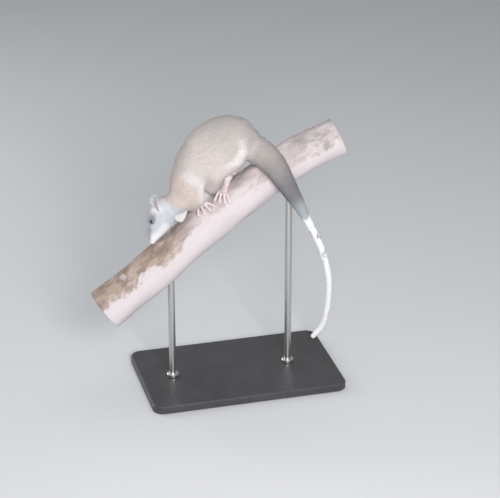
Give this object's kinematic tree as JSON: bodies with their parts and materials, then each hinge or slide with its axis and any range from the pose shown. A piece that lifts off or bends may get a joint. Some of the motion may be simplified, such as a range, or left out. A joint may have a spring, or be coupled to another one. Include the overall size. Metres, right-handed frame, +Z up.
{
  "type": "woolly opossum model",
  "caption": "Life-size woolly opossum climbing head first down a cut branch, tail hanging, on a flat base with rods.",
  "frame": {"origin": "centre of the bounding box on the underside of the stand's base", "axes": "+Z up; the branch lies over the X axis and rises toward +X, and the animal heads toward -X with its left side facing -Y"},
  "size_m": [0.3748, 0.18, 0.4093],
  "materials": {
    "coat": "soft woolly fawn-grey fur, matt",
    "nape_fur": "soft woolly orange-brown fur, matt",
    "face_fur": "short pale grey fur, matt",
    "pale_fur": "soft whitish fur, matt",
    "bare_skin": "fine pinkish skin, satin",
    "tail_skin": "finely scaled white skin, satin",
    "eye": "wet dark brown, high gloss",
    "bark": "weathered bark, brown crust over pale wood, matt",
    "stand_board": "matt dark grey board",
    "stand_rod": "brushed steel"
  },
  "bodies": {
    "root": {"stand_base": "stand_board", "stand_rod_low": "stand_rod", "stand_rod_high": "stand_rod", "perch_branch": "bark", "neck": "nape_fur", "torso": "coat", "head": "face_fur", "eye_left": "eye", "ear_left": "bare_skin", "eye_right": "eye", "ear_right": "bare_skin", "tail_base": "coat", "tail_middle": "coat", "tail_end": "tail_skin", "hind_leg_left": "coat", "foreleg_left": "pale_fur", "foot_left": "bare_skin", "hand_left": "bare_skin", "hind_leg_right": "coat", "foreleg_right": "pale_fur", "foot_right": "bare_skin", "hand_right": "bare_skin"}
  },
  "joints": []
}
